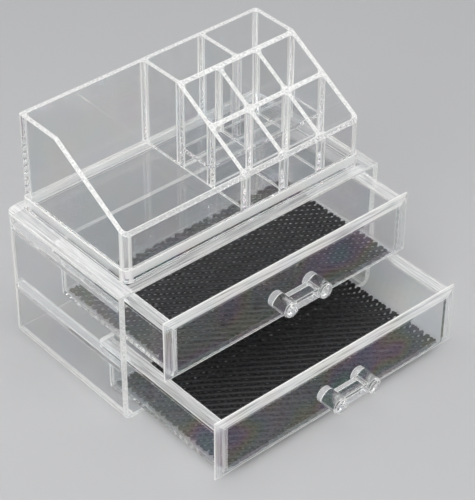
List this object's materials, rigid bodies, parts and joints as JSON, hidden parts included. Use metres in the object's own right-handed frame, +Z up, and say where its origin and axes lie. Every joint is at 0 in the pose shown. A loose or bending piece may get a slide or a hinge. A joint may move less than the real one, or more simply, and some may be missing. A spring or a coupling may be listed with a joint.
{
  "type": "two-drawer vanity organiser with divided tray",
  "caption": "Clear moulded vanity organiser: a low chest with wide bevelled drawers lined with black mesh, under a lift-off divided tray with a sloped front.",
  "frame": {"origin": "on the surface that the organiser stands on, under the middle of the chest's footprint", "axes": "+X to the viewer's right as seen from the front, -Y the way the drawers open, +Z up"},
  "size_m": [0.238, 0.2391, 0.1901],
  "materials": {
    "clear_chest": "polished clear moulding",
    "clear_tray": "polished clear moulding",
    "clear_drawer": "polished clear moulding",
    "clear_front": "polished clear plate with bevelled edges",
    "clear_handle": "polished clear moulding",
    "mesh_liner": "black open diamond mesh"
  },
  "bodies": {
    "chest": {"chest_shell": "clear_chest"},
    "upper_drawer": {"upper_drawer_box": "clear_drawer", "upper_drawer_front": "clear_front", "upper_drawer_handle": "clear_handle", "upper_drawer_liner": "mesh_liner"},
    "lower_drawer": {"lower_drawer_box": "clear_drawer", "lower_drawer_front": "clear_front", "lower_drawer_handle": "clear_handle", "lower_drawer_liner": "mesh_liner"},
    "tray_body": {"tray": "clear_tray"}
  },
  "joints": [
    {"name": "upper_drawer_slide", "type": "slide", "parent": "chest", "child": "upper_drawer", "axis": [0, -1, 0], "range_m": [-0.0393, 0.0657]},
    {"name": "lower_drawer_slide", "type": "slide", "parent": "chest", "child": "lower_drawer", "axis": [0, -1, 0], "range_m": [-0.0906, 0.0144]},
    {"name": "tray_lift", "type": "slide", "parent": "chest", "child": "tray_body", "axis": [0, 0, 1], "range_m": [0, 0.12]}
  ]
}
